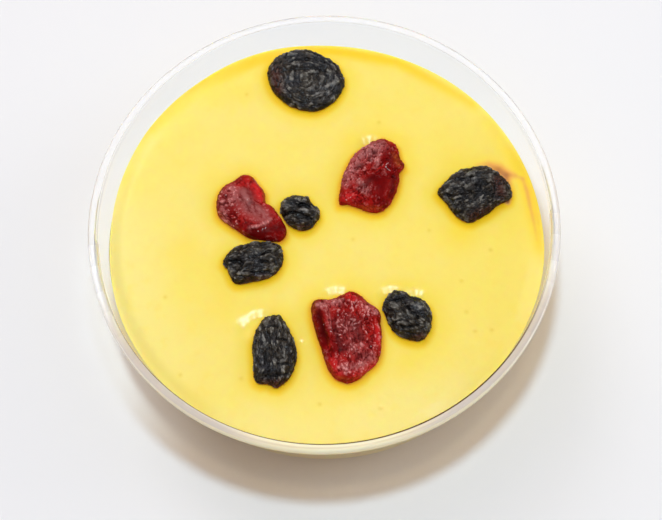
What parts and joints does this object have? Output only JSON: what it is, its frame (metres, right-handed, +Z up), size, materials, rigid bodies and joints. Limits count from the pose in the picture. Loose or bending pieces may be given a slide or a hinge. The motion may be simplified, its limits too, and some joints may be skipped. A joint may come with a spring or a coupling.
{
  "type": "sago pudding in a clear cup",
  "caption": "Round clear cup with a beaded rim, filled with smooth yellow pudding that dark raisins and dried cranberries lie on, slightly sunk; for serving cold with a spoon.",
  "frame": {"origin": "centre of the cup's base, on the surface that it stands on", "axes": "+Z up out of the cup, +X to the right and +Y to the far side as it is served"},
  "size_m": [0.095, 0.095, 0.033],
  "materials": {
    "clear_plastic": "clear, glossy",
    "pudding": "set milk pudding, smooth and moist",
    "raisin_skin": "wrinkled dark skin with a faint bloom",
    "cranberry_flesh": "sticky, half clear dried flesh"
  },
  "bodies": {
    "root": {"cup": "clear_plastic", "pudding": "pudding", "raisin_flat": "raisin_skin", "raisin_right": "raisin_skin", "raisin_small": "raisin_skin", "raisin_oval": "raisin_skin", "raisin_upright": "raisin_skin", "raisin_lower": "raisin_skin", "cranberry_crescent": "cranberry_flesh", "cranberry_upper": "cranberry_flesh", "cranberry_lower": "cranberry_flesh"}
  },
  "joints": []
}
